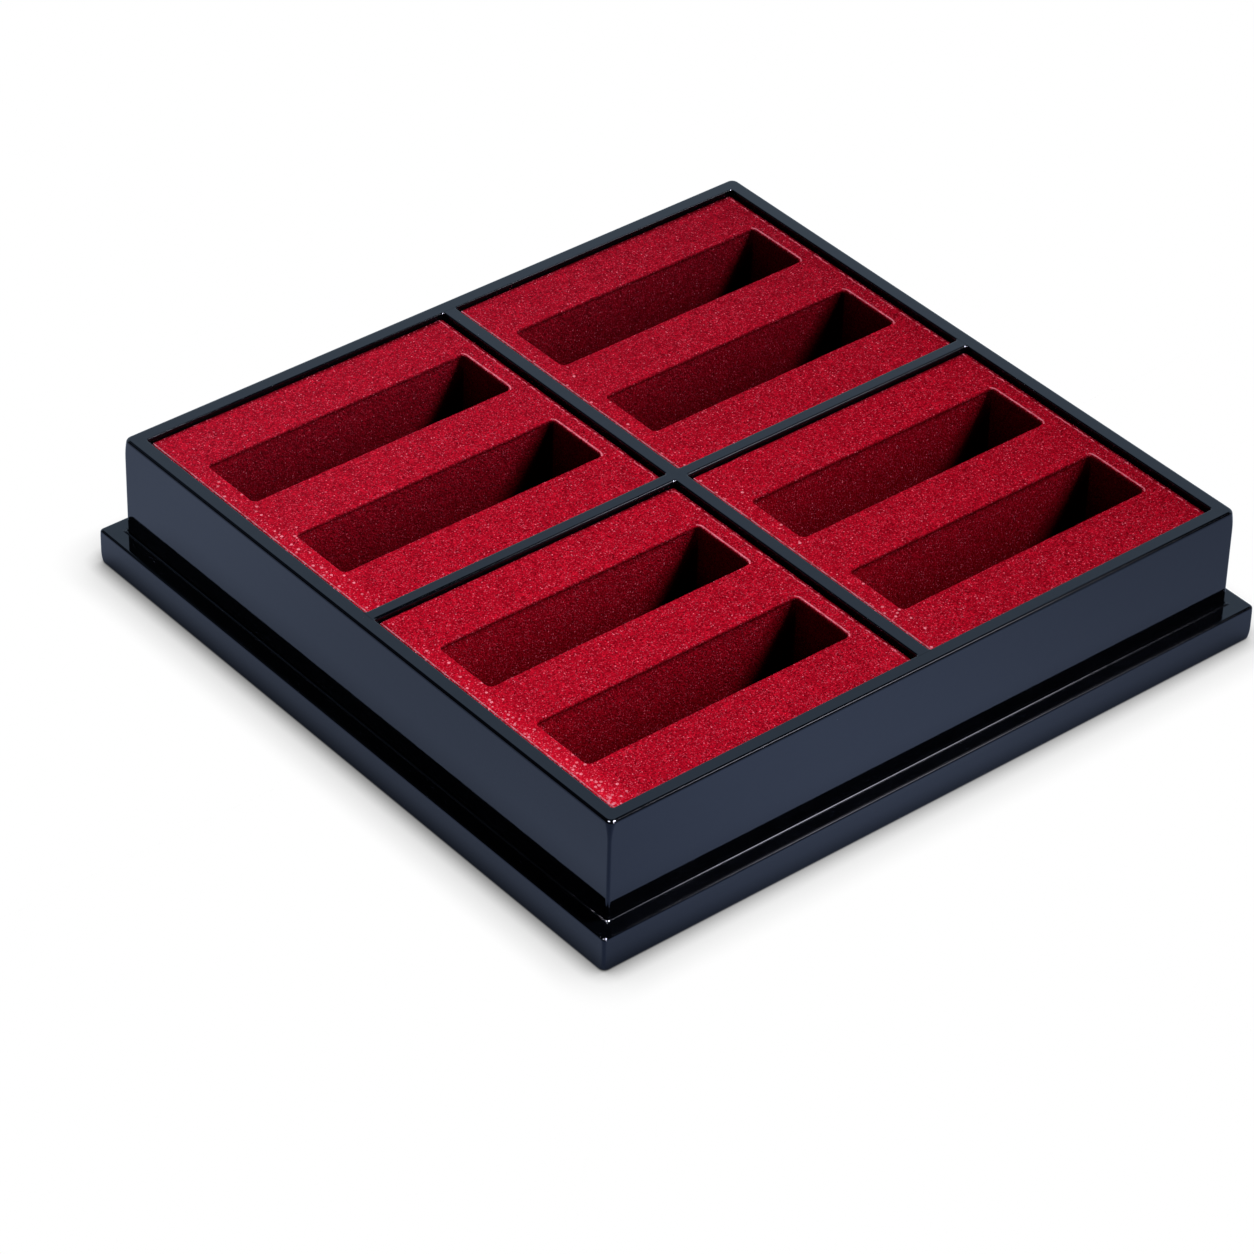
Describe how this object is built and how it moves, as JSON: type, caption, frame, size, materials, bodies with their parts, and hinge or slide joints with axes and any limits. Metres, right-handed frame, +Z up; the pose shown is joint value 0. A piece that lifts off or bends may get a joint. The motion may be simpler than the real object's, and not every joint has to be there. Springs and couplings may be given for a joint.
{
  "type": "stacking jewellery box",
  "caption": "Shallow black lacquered jewellery tray that lifts off a low stepped base; its divided cells hold lift-out red flocked inserts with long slots.",
  "frame": {"origin": "middle of the base's underside, where it stands", "axes": "+Z up, +X along the slots towards the right side, front faces -Y"},
  "size_m": [0.2522, 0.2434, 0.0465],
  "materials": {
    "black_lacquer": "black lacquer polished to a mirror gloss, over wood",
    "red_flock": "matt crimson flock with a fine sparkle",
    "dark_felt": "thin dark felt, glued down",
    "foam": "dense grey foam, cut and not covered",
    "board": "stiff grey board, matt",
    "bare_wood": "bare planed wood of the hidden joinery"
  },
  "bodies": {
    "base": {"base_rail_front": "black_lacquer", "base_rail_back": "black_lacquer", "base_rail_left": "black_lacquer", "base_rail_right": "black_lacquer", "base_biscuit_front_left": "bare_wood", "base_biscuit_front_right": "bare_wood", "base_biscuit_back_left": "bare_wood", "base_biscuit_back_right": "bare_wood", "base_panel": "black_lacquer", "seat_felt": "dark_felt", "underside_felt": "dark_felt"},
    "tray": {"tray_wall_front": "black_lacquer", "tray_wall_back": "black_lacquer", "tray_wall_left": "black_lacquer", "tray_wall_right": "black_lacquer", "corner_spline_front_left": "bare_wood", "corner_spline_front_right": "bare_wood", "corner_spline_back_left": "bare_wood", "corner_spline_back_right": "bare_wood", "tray_floor": "black_lacquer", "divider_long": "black_lacquer", "divider_cross": "black_lacquer"},
    "insert_front_left": {"insert_front_left_card": "board", "insert_front_left_foam": "foam", "insert_front_left_cover": "red_flock"},
    "insert_front_right": {"insert_front_right_card": "board", "insert_front_right_foam": "foam", "insert_front_right_cover": "red_flock"},
    "insert_back_left": {"insert_back_left_card": "board", "insert_back_left_foam": "foam", "insert_back_left_cover": "red_flock"},
    "insert_back_right": {"insert_back_right_card": "board", "insert_back_right_foam": "foam", "insert_back_right_cover": "red_flock"}
  },
  "joints": [
    {"name": "tray_lift", "type": "slide", "parent": "base", "child": "tray", "axis": [0, 0, 1], "range_m": [0, 0.06]},
    {"name": "insert_front_left_lift", "type": "slide", "parent": "tray", "child": "insert_front_left", "axis": [0, 0, 1], "range_m": [0, 0.045]},
    {"name": "insert_front_right_lift", "type": "slide", "parent": "tray", "child": "insert_front_right", "axis": [0, 0, 1], "range_m": [0, 0.045]},
    {"name": "insert_back_left_lift", "type": "slide", "parent": "tray", "child": "insert_back_left", "axis": [0, 0, 1], "range_m": [0, 0.045]},
    {"name": "insert_back_right_lift", "type": "slide", "parent": "tray", "child": "insert_back_right", "axis": [0, 0, 1], "range_m": [0, 0.045]}
  ]
}
